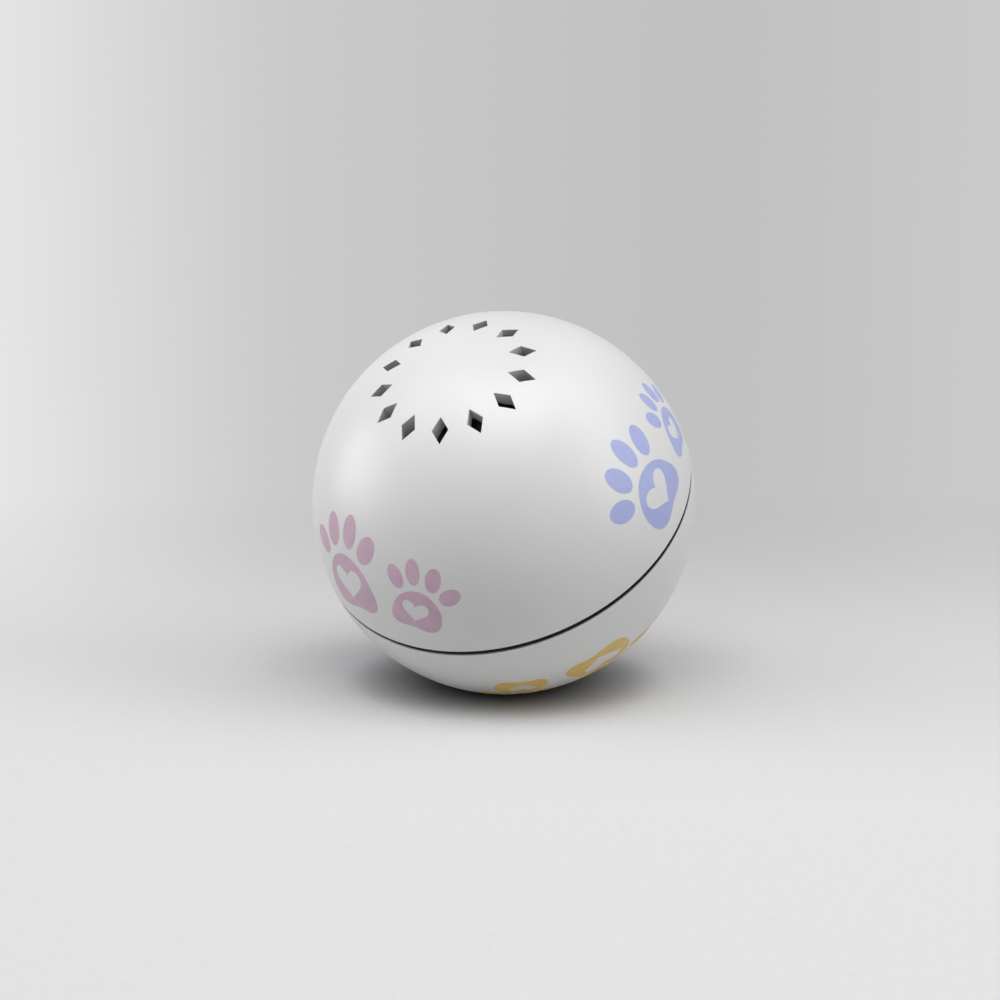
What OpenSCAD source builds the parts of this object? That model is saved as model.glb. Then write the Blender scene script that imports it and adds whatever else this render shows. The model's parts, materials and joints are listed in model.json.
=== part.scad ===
// Cat ball in two halves that screw together: the upper half lets scent and sound out
// through a ring of diamond vents, and the lower half holds a sound module that wakes
// when the ball is touched. Everything is drawn upright round the ball's own axis, with
// the ball's centre at zero, and is then leaned over the way the ball comes to rest.

/* [Ball] */
// Outside diameter of the closed ball
ball_d = 50; // [48:0.5:60]
// Wall of both half shells
wall = 2; // [1.6:0.1:2.4]
// Height of the open joint line between the two rims
seam_gap = 0.6; // [0.4:0.1:1]
// Lean of the ball's axis from upright, as the ball comes to rest
lean = 39; // [0:1:60]
// Direction of that lean, counted from +X
lean_turn = 244; // [0:1:359]

/* [Vents] */
// Diamond vents in the ring round the upper pole
vent_count = 13; // [9:1:15]
// Radius of the ring of vents
vent_ring_r = 9.2; // [8.6:0.1:10]
// Length of a vent, along the radius
vent_l = 3.24; // [2.6:0.02:3.8]
// Width of a vent
vent_w = 2.06; // [1.4:0.02:2.6]
// Turn of the first vent from the heavy side of the ball
vent_turn = 12.2; // [0:0.1:27]
// Thickness of the cloth screen behind the vents
screen_t = 0.4; // [0.2:0.1:0.6]

/* [Screw joint] */
// Height of the collar above the joint line
collar_h = 5; // [4.8:0.1:6]
// Wall of the collar
collar_wall = 1.6; // [1.2:0.1:2]
// Depth of the collar's foot below the joint line
collar_foot = 3; // [2:0.1:4]
// Starts of the coarse thread
thread_starts = 3; // [2:1:4]
// Rise of the upper half in one full turn
thread_lead = 12; // [10:0.5:14]
// Height of a thread at its root
thread_h = 1.2; // [1:0.1:1.4]
// How far a thread stands out
thread_depth = 0.9; // [0.6:0.1:1.1]
// Running clearance of the thread, all round
thread_clear = 0.2; // [0.15:0.05:0.3]
// Arc of each thread on the collar
ridge_arc = 50; // [36:1:52]
// Arc of each lug in the upper half
lug_arc = 26; // [16:1:34]
// How deep the seal's edge lies in the joint line, below the ball's surface
seal_recess = 0.25; // [0.1:0.05:0.6]

/* [Catnip chamber] */
// Inside radius of the chamber's ring wall
chamber_r = 12.4; // [12.2:0.1:14]
// Wall of that ring
chamber_wall = 1.2; // [1.1:0.1:1.6]
// Height of the ring's lower edge above the joint line
chamber_z = 13.8; // [13.4:0.1:14.6]
// Thickness of the twist-off lid
lid_t = 1.2; // [1:0.1:1.6]
// How far the lid's flange reaches past the ring's inside
lid_flange = 2; // [1.4:0.1:3]
// Height of the lid's spigot inside the ring
spigot_h = 2.2; // [2:0.1:2.6]
// Wall of that spigot
spigot_wall = 1; // [0.8:0.1:1.4]
// Bayonet lugs on the spigot
bayonet_count = 3; // [2:1:4]
// Arc of each bayonet lug
bayonet_arc = 24; // [16:1:28]
// Turn of the lid from locked to free
bayonet_turn = 45; // [38:1:50]
// Diameter of the sound holes in the lid
lid_hole_d = 1.6; // [1:0.1:1.8]
// Length of the finger bar under the lid
finger_bar_l = 12; // [8:0.5:16]

/* [Sound deck] */
// Height of the deck's face above the joint line
deck_z = 0.5; // [0:0.1:1]
// Thickness of the deck
deck_t = 1.6; // [1.5:0.1:2]
// Radius of the posts in the lower shell that carry the deck
post_r = 2.2; // [1.8:0.1:2.4]
// Diameter of the deck screws' thread
deck_screw_d = 1.8; // [1.4:0.1:2]
// Length of a deck screw under its head
deck_screw_l = 6; // [5:0.5:8]
// Diameter of all the screw heads
screw_head_d = 3.4; // [3:0.1:3.8]

/* [Speaker] */
// Diameter of the speaker
speaker_d = 16; // [13:0.5:16]
// Height of the speaker from its rim to the back of its frame
speaker_h = 3.2; // [2.8:0.1:4]
// Diameter of the magnet
magnet_d = 8; // [6:0.5:9]
// Height of the magnet behind the frame
magnet_h = 1.2; // [0.8:0.1:1.6]
// Diameter of the sound holes in the deck
grille_hole_d = 1.5; // [1:0.1:1.7]

/* [Batteries] */
// Diameter of a button cell
cell_d = 11.6; // [11:0.1:11.8]
// Height of a button cell
cell_h = 5.4; // [4.8:0.1:5.6]
// Room round the cells
cell_clear = 0.2; // [0.1:0.05:0.3]
// Wall of the battery tub under the deck
tub_wall = 1.2; // [1:0.1:1.4]
// Thickness of the battery door
door_t = 1.2; // [1:0.1:1.3]
// How far the door laps over the tub's edge
door_ledge = 0.9; // [0.7:0.1:1]
// Thickness of the contact plates
contact_t = 0.5; // [0.3:0.1:0.6]
// Length of the contact spring with the cells in place
spring_l = 2.2; // [2:0.1:2.6]
// Wire of the contact spring
spring_wire = 0.5; // [0.3:0.05:0.5]
// Diameter of the door screws' thread
door_screw_d = 1.6; // [1.2:0.1:1.8]
// Length of a door screw under its head
door_screw_l = 5; // [4:0.5:6]

/* [Circuit board] */
// Depth of the board's upper face below the deck's underside
board_drop = 7.1; // [6.6:0.1:8]
// Thickness of the board
board_t = 1; // [0.8:0.1:1.6]
// Half width of the board
board_half_w = 10.6; // [10.2:0.1:10.8]
// Length of the slide switch
switch_l = 6.6; // [6:0.1:7]
// Width of the slide switch
switch_w = 3.4; // [3:0.1:3.8]
// Travel of the slide switch's knob
switch_travel = 2; // [1.5:0.1:2.2]
// Width of that knob
knob_w = 1.5; // [1.2:0.1:1.6]
// Height of that knob above the deck
knob_proud = 0.8; // [0.5:0.1:1.2]
// Diameter of the leads
lead_d = 0.9; // [0.6:0.1:1]

/* [Hidden] */
$fn = 96;
// Finer facets for a ring so thin that they change its volume
thin_ring_fn = 240;

// Overlap that makes pieces of one moulding fuse, and overshoot that makes cuts clean
bond = 0.4;
past = 1;
// Gap between pieces that lift out or are dropped in
fit_clear = 0.25;

// Shells: what is moulded onto a shell ends in the middle of its wall
ball_r = ball_d / 2;
cavity_r = ball_r - wall;
bond_r = ball_r - wall / 2;
rim_z = seam_gap / 2;

// Screw joint, worked inwards from the widest skirt that the upper half can take
skirt_over = 0.5;
skirt_land = 0.4;
ridge_land = 0.1;
thread_taper = 0.24;
rib_step = 4;
skirt_h = collar_h + skirt_over;
skirt_r = sqrt(pow(cavity_r, 2) - pow(skirt_h, 2)) - skirt_land;
ridge_r = skirt_r - thread_clear;
collar_r = ridge_r - thread_depth;
lug_r = collar_r + thread_clear;
collar_bore_r = collar_r - collar_wall;
ridge_rise = thread_lead * ridge_arc / 360;
ridge_z = collar_h - ridge_rise - thread_h - ridge_land;
lug_start = (ridge_arc - lug_arc) / 2;
lug_z = ridge_z - thread_clear - thread_h + thread_lead * lug_start / 360;
seal_clear = 0.3;
seal_r = collar_r + seal_clear;

// Deck and the screws that hold it
deck_r = collar_bore_r - fit_clear;
deck_under = deck_z - deck_t;
screw_head_h = 1;
screw_slot_w = 0.5;
deck_screw_edge = 2.6;
deck_screw_ring = deck_r - deck_screw_edge;
deck_screw_angles = [-125, -75, 75, 125];
pilot_clear = 0.05;

// Battery bay: three cells in a row along Y, as far out as the door's corners allow,
// which leave a narrow rim of the deck outside them
cell_count = 3;
dimple_h = 0.3;
dimple_r = 1.5;
bay_r = cell_d / 2 + cell_clear;
bay_l = cell_count * cell_h + 2 * contact_t + dimple_h + spring_l;
door_half_x = bay_r + door_ledge;
door_half_y = bay_l / 2 + door_ledge;
door_corner_r = 2;
door_seat = deck_z - door_t;
door_gap = 0.15;
door_rim = 0.2;
tongue_out = 2;
bay_x = sqrt(pow(deck_r, 2) - pow(door_half_y, 2)) - door_half_x - door_rim;
cell_z = door_seat - cell_clear - cell_d / 2;
cell_y0 = -bay_l / 2 + contact_t + dimple_h;
tub_r = bay_r + tub_wall;
tub_l = bay_l + 2 * tub_wall;
tongue_r = 2.2;
door_screw_y = door_half_y + tongue_out;
door_boss_r = 1.9;

// Contacts: a tail of each plate passes through the tub's end wall to its lead
contact_w = 8;
contact_tail_w = 2;
contact_tail_out = 1.2;
contact_tail_drop = 3;
contact_tail_z = cell_z - contact_tail_drop;
spring_turns = 2.5;
spring_foot_r = 3.4;
spring_tip_r = 1.4;

// Speaker, beside the tub on the light side of the ball
speaker_clear = 0.1;
speaker_ring_wall = 1;
speaker_ring_h = 2;
speaker_to_tub = 0.5;
speaker_ring_r = speaker_d / 2 + speaker_clear + speaker_ring_wall;
speaker_x = bay_x - tub_r - speaker_ring_r - speaker_to_tub;
gasket_t = 0.5;
gasket_w = 1.3;
frame_t = 0.8;
frame_top = deck_under - gasket_t;
frame_back = frame_top - speaker_h;
cone_t = 0.2;
cone_clear = 0.1;
cone_edge = 3.4;
magnet_flange = 0.8;
grille_pitch = 2.4;
grille_rings = 2;

// Circuit board under the speaker, hung on two posts of the deck
board_top = deck_under - board_drop;
board_under = board_top - board_t;
board_to_tub = 0.4;
board_edge_x = bay_x - tub_r - board_to_tub;
board_inset = 1.58;
board_r = deck_r - board_inset;
board_post_r = 1.8;
board_post_past = 0.2;
board_post = [board_edge_x - board_post_r + board_post_past, board_half_w - board_post_r];
board_screw_d = 1.4;
board_screw_l = 4.5;
chip_offset = -1.8;
chip_at = [speaker_x + chip_offset, -2];
sensor_in = 5.8;
sensor_at = [board_edge_x - sensor_in, 5.2];
capacitor_in = 3.2;
capacitor_at = [board_edge_x - capacitor_in, -3.5];
capacitor_d = 5;
capacitor_h = 7;
switch_in = 0.4;
switch_x = board_edge_x - switch_l / 2 - switch_in;
switch_out = 0.3;
switch_y = board_half_w + switch_w / 2 + switch_out;
switch_tab_edge = 0.2;
switch_tab_side = 0.3;
switch_tab_y = switch_y + switch_w / 2 + switch_tab_edge;
switch_h = 4.4;
switch_pocket = 1;
knob_foot_h = 0.8;
slide_clear = 0.15;

// Leads: straight stubs at their ends, and hand-set bends between
lead_stub = 0.9;
lead_sides = 8;
speaker_lead_in = 0.9;
speaker_lead_y = 1.6;
speaker_lead_bow = [0.5, 0.2];
battery_pad = [4.6, 0.9];
battery_lead_bends = [[0, 0.6, 0], [-2.4, 0.9, -1], [-5, 0, -1.8]];
battery_lead_low = [-0.8, -2];

// Upper pieces
lid_gap = 0.2;
lid_z = chamber_z - lid_gap - lid_t;
spigot_clear = 0.3;
spigot_r = chamber_r - spigot_clear;
bayonet_h = 0.7;
bayonet_out = 0.85;
bayonet_room = 0.3;
bayonet_play = 4;
bayonet_top = chamber_z - lid_gap + spigot_h;
finger_bar_w = 1.6;
finger_bar_h = 1.8;
finger_bar_r = 0.7;
lid_hole_pitch = 3.3;
lid_hole_rings = 3;
screen_gap = 0.1;
glue_line = 0.1;

// The finished pieces stand on the floor, leaned over, with the lowest point at zero
module as_it_lies() {
    translate([0, 0, ball_r]) rotate([0, 0, lean_turn]) rotate([0, lean, 0]) children();
}

// Copies at a list of turns about the ball's axis
module turned(angles) {
    for (a = angles) rotate([0, 0, a]) children();
}

// A flat ring whose lower face is at z
module ring(r_out, r_in, z, h) {
    translate([0, 0, z]) difference() {
        cylinder(h = h, r = r_out);
        translate([0, 0, -past]) cylinder(h = h + 2 * past, r = r_in);
    }
}

// Upright cylinder from z0 to z1
module rod(r, z0, z1) {
    translate([0, 0, z0]) cylinder(h = z1 - z0, r = r);
}

// Plate with round corners, centred, with its lower face at z
module rounded_plate(half_x, half_y, r, z, h) {
    translate([-half_x, r - half_y, z]) cube([2 * half_x, 2 * (half_y - r), h]);
    translate([r - half_x, -half_y, z]) cube([2 * (half_x - r), 2 * half_y, h]);
    for (x = [-1, 1], y = [-1, 1])
        translate([x * (half_x - r), y * (half_y - r), z]) cylinder(h = h, r = r);
}

// Skin joined through a row of rings that all run clockwise, seen along the row
module loft(rings) {
    n = len(rings[0]);
    last = (len(rings) - 1) * n;
    points = [for (r = rings) each r];
    walls = [
        for (i = [0:len(rings) - 2], j = [0:n - 1])
            let (a = i * n + j, b = i * n + (j + 1) % n)
            each [[a, a + n, b], [b, a + n, b + n]]
    ];
    ends = [[for (j = [0:n - 1]) j], [for (j = [n - 1:-1:0]) last + j]];
    polyhedron(points, concat(walls, ends), convexity = 4);
}

// Thread rib that climbs from z along an arc, tapered from its root to its tip
module thread_rib(root_r, tip_r, z, arc) {
    steps = ceil(arc / rib_step);
    root = [[root_r, 0], [root_r, thread_h]];
    tip = [[tip_r, thread_taper], [tip_r, thread_h - thread_taper]];
    profile = root_r < tip_r
        ? [root[0], root[1], tip[1], tip[0]]
        : [tip[0], tip[1], root[1], root[0]];
    loft([
        for (i = [0:steps])
            let (a = arc * i / steps, rise = z + thread_lead * a / 360)
            [for (p = profile) [p[0] * cos(a), p[0] * sin(a), rise + p[1]]]
    ]);
}

// Round wire along a list of points, with square ends and mitred corners
function unit(v) = v / norm(v);
function tangents(p) = [
    for (i = [0:len(p) - 1])
        let (before = max(i, 1), after = min(i, len(p) - 2))
        unit(unit(p[before] - p[before - 1]) + unit(p[after + 1] - p[after]))
];
function sides(t, from, i = 0) =
    i == len(t) ? [] : let (s = unit(from - (from * t[i]) * t[i])) concat([s], sides(t, s, i + 1));
module wire(p, d, n, from) {
    t = tangents(p);
    s = sides(t, from);
    loft([
        for (i = [0:len(p) - 1])
            [for (j = [0:n - 1])
                p[i] + d / 2 * (cos(360 * j / n) * s[i] + sin(360 * j / n) * cross(t[i], s[i]))]
    ]);
}

// Smooth route through hand-set points, each stretch in four steps
function bend(a, b, c, d, t) =
    0.5 * (2 * b + (c - a) * t + (2 * a - 5 * b + 4 * c - d) * t * t
        + (3 * b - a - 3 * c + d) * t * t * t);
function curve(p) = [
    for (i = [0:len(p) - 2], k = [0:3])
        bend(p[max(i - 1, 0)], p[i], p[i + 1], p[min(i + 2, len(p) - 1)], k / 4)
];
// The same with a straight stub at each end, so that the ends meet their pads squarely
function route(p) = concat(
    [p[0]], curve([for (i = [1:len(p) - 2]) p[i]]), [p[len(p) - 2], p[len(p) - 1]]
);

// Half of the hollow ball on one side of the joint line
module half_shell(side) {
    difference() {
        sphere(r = ball_r);
        sphere(r = cavity_r);
        translate([-ball_d, -ball_d, side > 0 ? rim_z - 2 * ball_d : -rim_z])
            cube(2 * ball_d);
    }
}

// Pan-head screw with a slot, its head resting at z and its thread below
module pan_screw(z, d, l) {
    difference() {
        rod(screw_head_d / 2, z, z + screw_head_h);
        translate([-screw_head_d, -screw_slot_w / 2, z + screw_head_h / 2])
            cube([2 * screw_head_d, screw_slot_w, screw_head_h]);
    }
    rod(d / 2, z - l, z + bond);
}

// Lower half of the casing, with the threaded collar and the deck's posts
module lower_shell() color("whitesmoke") {
    half_shell(-1);
    intersection() {
        sphere(r = bond_r);
        rotate_extrude() polygon([
            [collar_bore_r, -collar_foot], [ball_r, -collar_foot], [ball_r, -rim_z],
            [collar_r, -rim_z], [collar_r, collar_h], [collar_bore_r, collar_h]
        ]);
    }
    turned([for (k = [0:thread_starts - 1]) 360 * k / thread_starts])
        thread_rib(collar_r - bond, ridge_r, ridge_z, ridge_arc);
    difference() {
        intersection() {
            sphere(r = bond_r);
            turned(deck_screw_angles)
                translate([deck_screw_ring, 0, 0]) rod(post_r, -ball_r, deck_under);
        }
        turned(deck_screw_angles) translate([deck_screw_ring, 0, 0])
            rod(deck_screw_d / 2 + pilot_clear, deck_z - deck_screw_l - past, deck_z);
    }
}

// Outline of the battery door with a tongue for a screw at each end
module door_outline(grow, z, h) {
    translate([bay_x, 0, 0]) {
        rounded_plate(door_half_x + grow, door_half_y + grow, door_corner_r + grow, z, h);
        for (y = [-1, 1]) {
            translate([0, y * door_screw_y, z]) cylinder(h = h, r = tongue_r + grow);
            translate([-tongue_r - grow, y > 0 ? 0 : -door_screw_y, z])
                cube([2 * (tongue_r + grow), door_screw_y, h]);
        }
    }
}

// Trough with a round bottom, open at the top, for the row of cells
module trough(r, l, top) {
    translate([bay_x, 0, cell_z]) {
        rotate([90, 0, 0]) cylinder(h = l, r = r, center = true);
        translate([-r, -l / 2, 0]) cube([2 * r, l, top - cell_z]);
    }
}

// Screw posts under the deck that carry the circuit board
module board_posts(r, z0, z1) {
    for (y = [-1, 1]) translate([board_post[0], y * board_post[1], 0]) rod(r, z0, z1);
}

// Cover of the sound module: speaker grille, battery tub, switch slot and board posts
module deck() color("dimgray") difference() {
    union() {
        rod(deck_r, deck_under, deck_z);
        trough(tub_r, tub_l, deck_under + bond);
        translate([speaker_x, 0, 0])
            ring(speaker_ring_r, speaker_ring_r - speaker_ring_wall,
                deck_under - speaker_ring_h, speaker_ring_h + bond);
        board_posts(board_post_r, board_top, deck_under + bond);
        for (y = [-1, 1]) translate([bay_x, y * door_screw_y, 0])
            rod(door_boss_r, door_seat - door_screw_l - bond, deck_under + bond);
    }
    trough(bay_r, bay_l, deck_z + past);
    door_outline(door_gap, door_seat, door_t + past);
    translate([speaker_x, 0, 0])
        sound_holes(0, grille_rings, grille_pitch, grille_hole_d, deck_under, deck_z);
    turned(deck_screw_angles) translate([deck_screw_ring, 0, 0])
        rod(deck_screw_d / 2 + fit_clear, deck_under - past, deck_z + past);
    board_posts(board_screw_d / 2 + pilot_clear, board_top - past, board_top + board_screw_l);
    for (y = [-1, 1]) {
        translate([bay_x, y * door_screw_y, 0])
            rod(door_screw_d / 2 + fit_clear, door_seat - door_screw_l - past, deck_z);
        translate([bay_x - contact_tail_w / 2 - fit_clear, y * bay_l / 2 - tub_wall - past,
            contact_tail_z - fit_clear])
            cube([contact_tail_w + 2 * fit_clear, 2 * (tub_wall + past),
                contact_t + 2 * fit_clear]);
    }
    translate([switch_x - (knob_w + switch_travel) / 2 - slide_clear - switch_travel / 2,
        switch_y - knob_w / 2 - slide_clear, deck_under - past])
        cube([knob_w + 2 * switch_travel + 2 * slide_clear, knob_w + 2 * slide_clear,
            deck_t + 2 * past]);
}

// Rings of round holes, six more in each ring; ring 0 is one hole in the middle
module sound_holes(first, last, pitch, d, z0, z1) {
    for (i = [first:last]) {
        n = max(1, 6 * i);
        turned([for (k = [0:n - 1]) 360 * (k + 0.5) / n])
            translate([i * pitch, 0, 0]) rod(d / 2, z0 - past, z1 + past);
    }
}

module deck_screws() color("silver") turned(deck_screw_angles)
    translate([deck_screw_ring, 0, 0]) pan_screw(deck_z, deck_screw_d, deck_screw_l);

// Foam ring between the speaker and the deck
module speaker_gasket() color("black") translate([speaker_x, 0, 0])
    ring(speaker_d / 2, speaker_d / 2 - gasket_w, frame_top, gasket_t);

// Film of the speaker: a flat edge on the frame and a dished middle
module speaker_cone() color("gainsboro") translate([speaker_x, 0, 0]) {
    dish_r = speaker_d / 2 - cone_edge;
    dish_ball = 2 * dish_r;
    dish_rise = sqrt(pow(dish_ball, 2) - pow(dish_r, 2));
    ring(speaker_d / 2 - gasket_w - cone_clear, dish_r, frame_top, cone_t);
    translate([0, 0, frame_top + cone_t]) intersection() {
        translate([0, 0, dish_rise]) difference() {
            sphere(r = dish_ball);
            sphere(r = dish_ball - cone_t);
        }
        rod(dish_r + bond, -dish_ball, 0);
    }
}

// Basket of the speaker: a rim, a wall and an open back that the magnet sits in
module speaker_frame() color("darkslategray") translate([speaker_x, 0, 0]) {
    rim_w = 2;
    wall_r = speaker_d / 2 - rim_w + frame_t;
    ring(speaker_d / 2, speaker_d / 2 - rim_w, frame_top - frame_t, frame_t);
    ring(wall_r, wall_r - frame_t, frame_back, speaker_h - frame_t / 2);
    ring(wall_r, magnet_d / 2 + fit_clear, frame_back, frame_t);
}

// Magnet with a flange that is bonded to the back of the frame
module speaker_magnet() color("silver") translate([speaker_x, 0, 0]) {
    rod(magnet_d / 2, frame_back - magnet_h, frame_back + frame_t);
    rod(magnet_d / 2 + magnet_flange, frame_back - magnet_h / 2, frame_back);
}

// Two short leads from the speaker's rim down to the board
module speaker_leads() color("firebrick") for (side = [-1, 1]) {
    x = speaker_x - speaker_d / 2 + speaker_lead_in;
    y = side * speaker_lead_y;
    top = frame_top - frame_t;
    wire(
        route([
            [x, y, top], [x, y, top - lead_stub],
            [x - speaker_lead_bow[0], y + side * speaker_lead_bow[1], (top + board_top) / 2],
            [x, y, board_top + lead_stub], [x, y, board_top]
        ]),
        lead_d, lead_sides, [0, 1, 0]);
}

// Board with a straight edge along the tub and a tab under the slide switch
module circuit_board() color("darkgreen") difference() {
    translate([0, 0, board_under]) linear_extrude(board_t) {
        intersection() {
            circle(r = board_r);
            translate([board_edge_x - 2 * board_r, -board_half_w])
                square([2 * board_r, 2 * board_half_w]);
        }
        translate([switch_x - switch_l / 2 - switch_tab_side, 0])
            square([switch_l + 2 * switch_tab_side, switch_tab_y]);
    }
    board_posts(board_screw_d / 2 + fit_clear, board_under - past, board_top + past);
}

module board_screws() color("silver") for (y = [-1, 1])
    translate([board_post[0], y * board_post[1], board_under]) mirror([0, 0, 1])
        pan_screw(0, board_screw_d, board_screw_l);

// Drop of epoxy over the bare sound chip
module sound_chip() color("black") {
    drop_r = 4;
    drop_h = 1.6;
    drop_ball = (pow(drop_r, 2) + pow(drop_h, 2)) / (2 * drop_h);
    translate([chip_at[0], chip_at[1], board_under]) intersection() {
        translate([0, 0, drop_ball - drop_h]) sphere(r = drop_ball);
        rod(drop_ball, -drop_h - past, 0);
    }
}

// Chip resistors and capacitors in two rows along the board's long edges
module surface_parts() color("tan") {
    part = [1.6, 0.8, 0.6];
    pitch = 2.2;
    edge = 1.8;
    for (i = [-1:1], y = [-1, 1])
        translate([chip_at[0] + i * pitch - part[0] / 2, y * (board_half_w - edge) - part[1] / 2,
            board_under - part[2]])
            cube(part);
}

// Touch sensor: a metal can lying on its flat foot
module motion_sensor() color("silver") {
    can_d = 4.4;
    can_l = 9;
    foot_w = 2.4;
    foot_h = 0.3;
    translate([sensor_at[0], sensor_at[1], board_under - can_d / 2 - foot_h]) {
        rotate([0, 90, 0]) cylinder(h = can_l, d = can_d, center = true);
        translate([-can_l / 2, -foot_w / 2, 0]) cube([can_l, foot_w, can_d / 2 + foot_h]);
    }
}

// Storage capacitor standing on the board
module capacitor() color("midnightblue") translate([capacitor_at[0], capacitor_at[1], 0])
    rod(capacitor_d / 2, board_under - capacitor_h, board_under);

// Slide switch on the board, with a pocket for the knob's foot
module switch_body() color("silver") difference() {
    translate([switch_x - switch_l / 2, switch_y - switch_w / 2, board_top])
        cube([switch_l, switch_w, switch_h]);
    translate([switch_x - knob_w / 2 - switch_travel - slide_clear,
        switch_y - knob_w / 2 - slide_clear, board_top + switch_h - switch_pocket])
        cube([knob_w + 2 * switch_travel + 2 * slide_clear, knob_w + 2 * slide_clear,
            switch_pocket + past]);
}

// Knob of that switch, at the heavy end of its slot when off
module switch_knob() color("black") {
    foot = board_top + switch_h - knob_foot_h;
    translate([switch_x - knob_w / 2 + switch_travel / 2, switch_y - knob_w / 2, foot])
        cube([knob_w, knob_w, deck_z + knob_proud - foot]);
}

// Button cell with its cap towards the positive plate
module cell(k) color("lightgray") {
    cap_h = 0.5;
    cap_edge = 1.4;
    cap_r = cell_d / 2 - cap_edge;
    translate([bay_x, cell_y0 + k * cell_h, cell_z]) rotate([-90, 0, 0]) {
        rod(cell_d / 2, 0, cell_h - cap_h);
        rod(cap_r, cell_h - cap_h - bond, cell_h);
    }
}
module cell_1() cell(0);
module cell_2() cell(1);
module cell_3() cell(2);

// Contact plate against one end wall of the tub, with a tail through the wall
module contact_plate(end) {
    y = end * bay_l / 2;
    translate([bay_x - contact_w / 2, end > 0 ? y - contact_t : y, cell_z - contact_w / 2])
        cube([contact_w, contact_t, contact_w]);
    translate([bay_x - contact_tail_w / 2, end > 0 ? y - contact_t : y - tub_wall - contact_tail_out,
        contact_tail_z])
        cube([contact_tail_w, contact_t + tub_wall + contact_tail_out, contact_t]);
}

module positive_contact() color("gold") {
    contact_plate(-1);
    translate([bay_x, -bay_l / 2 + contact_t - bond, cell_z]) rotate([-90, 0, 0])
        cylinder(h = dimple_h + bond, r = dimple_r);
}

module negative_contact() color("gold") contact_plate(1);

// Cone-shaped spring: a square end on the plate, tightening turns, a square end on the cell
spring_rings = 8;
spring_y1 = bay_l / 2 - contact_t;
spring_y0 = spring_y1 - spring_l;
spring_steps = spring_turns * spring_rings;
spring_coil = [
    for (i = [0:spring_steps])
        let (u = i / spring_steps, a = 360 * i / spring_rings,
            r = spring_foot_r + (spring_tip_r - spring_foot_r) * u)
        [bay_x + r * cos(a), spring_y1 - spring_wire - (spring_l - 2 * spring_wire) * u,
            cell_z + r * sin(a)]
];
spring_route = concat(
    [[spring_coil[0][0], spring_y1, spring_coil[0][2]]],
    spring_coil,
    [[spring_coil[spring_steps][0], spring_y0, spring_coil[spring_steps][2]]]
);
spring_gap = min([
    for (i = [0:spring_steps], k = [0:spring_steps])
        if (k - i >= spring_rings / 2) norm(spring_coil[k] - spring_coil[i])
]) - spring_wire;
echo(contact_spring_least_gap = spring_gap);
module contact_spring() color("silver") wire(spring_route, spring_wire, 6, [0, 0, 1]);

// Leads from the two contact tails round the tub's ends to the board's underside
module battery_leads() color("black") for (side = [-1, 1]) {
    tail = [bay_x, bay_l / 2 + tub_wall + contact_tail_out, contact_tail_z + contact_t / 2];
    pad = [board_edge_x - battery_pad[0], board_half_w - battery_pad[1], board_under];
    points = concat(
        [tail], [for (b = battery_lead_bends) tail + b],
        [[board_edge_x, tail[1] + battery_lead_low[0], tail[2] + battery_lead_low[1]]],
        [pad - [0, 0, lead_stub], pad]);
    wire(route([for (p = points) [p[0], side * p[1], p[2]]]), lead_d, lead_sides, [0, 0, 1]);
}

// Door over the cells, flush with the deck
module battery_door() color("dimgray") difference() {
    door_outline(0, door_seat, door_t);
    for (y = [-1, 1]) translate([bay_x, y * door_screw_y, 0])
        rod(door_screw_d / 2 + pilot_clear, door_seat - past, deck_z + past);
}

module door_screws() color("silver") for (y = [-1, 1])
    translate([bay_x, y * door_screw_y, 0])
        pan_screw(deck_z, door_screw_d, door_screw_l);

// Flat ring that closes the joint line between the two rims
module seam_seal() color("black") ring(ball_r - seal_recess, seal_r, -rim_z, seam_gap);

// Diamond holes cut straight down along the ball's axis
module vents() {
    turned([for (k = [0:vent_count - 1]) vent_turn + 360 * k / vent_count])
        translate([vent_ring_r, 0, cavity_r / 2]) linear_extrude(ball_r)
            polygon([[-vent_l / 2, 0], [0, -vent_w / 2], [vent_l / 2, 0], [0, vent_w / 2]]);
}

// Part of a ring about the ball's axis that spans an arc, centred on a turn
module arc_block(r_in, r_out, z, h, arc, turn) {
    rotate([0, 0, turn - arc / 2]) rotate_extrude(angle = arc)
        translate([r_in, z]) square([r_out - r_in, h]);
}

// Upper half of the casing, with the vents round its pole
module upper_shell() color("white") difference() {
    half_shell(1);
    vents();
}

// Ring glued into the upper shell, with the lugs that turn onto the collar's thread
module thread_ring() color("gainsboro") {
    $fn = thin_ring_fn;
    intersection() {
        sphere(r = cavity_r - glue_line);
        ring(ball_r, skirt_r, rim_z, skirt_h - rim_z);
    }
    turned([for (k = [0:thread_starts - 1]) 360 * k / thread_starts + lug_start])
        thread_rib(skirt_r + bond, lug_r, lug_z, lug_arc);
}

// Ring glued into the upper shell round the catnip, with a bayonet groove for the lid
module chamber_ring() color("gainsboro") {
    bayonet_low = bayonet_top - bayonet_h - bayonet_room;
    bayonet_bore = spigot_r + bayonet_out + bayonet_room;
    difference() {
        intersection() {
            sphere(r = cavity_r - glue_line);
            ring(chamber_r + chamber_wall, chamber_r, chamber_z, ball_r - chamber_z);
        }
        ring(bayonet_bore, chamber_r - past, bayonet_low, bayonet_h + 2 * bayonet_room);
        for (k = [0:bayonet_count - 1])
            arc_block(chamber_r - past, chamber_r + chamber_wall + past, chamber_z - past,
                bayonet_low - chamber_z + past + bayonet_room, bayonet_arc + bayonet_play,
                360 * k / bayonet_count + bayonet_turn);
    }
}

// Cloth that keeps the catnip in behind the vents
module vent_screen() color("black") intersection() {
    difference() {
        sphere(r = cavity_r - screen_gap);
        sphere(r = cavity_r - screen_gap - screen_t);
    }
    rod(spigot_r, 0, ball_r);
}

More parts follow.
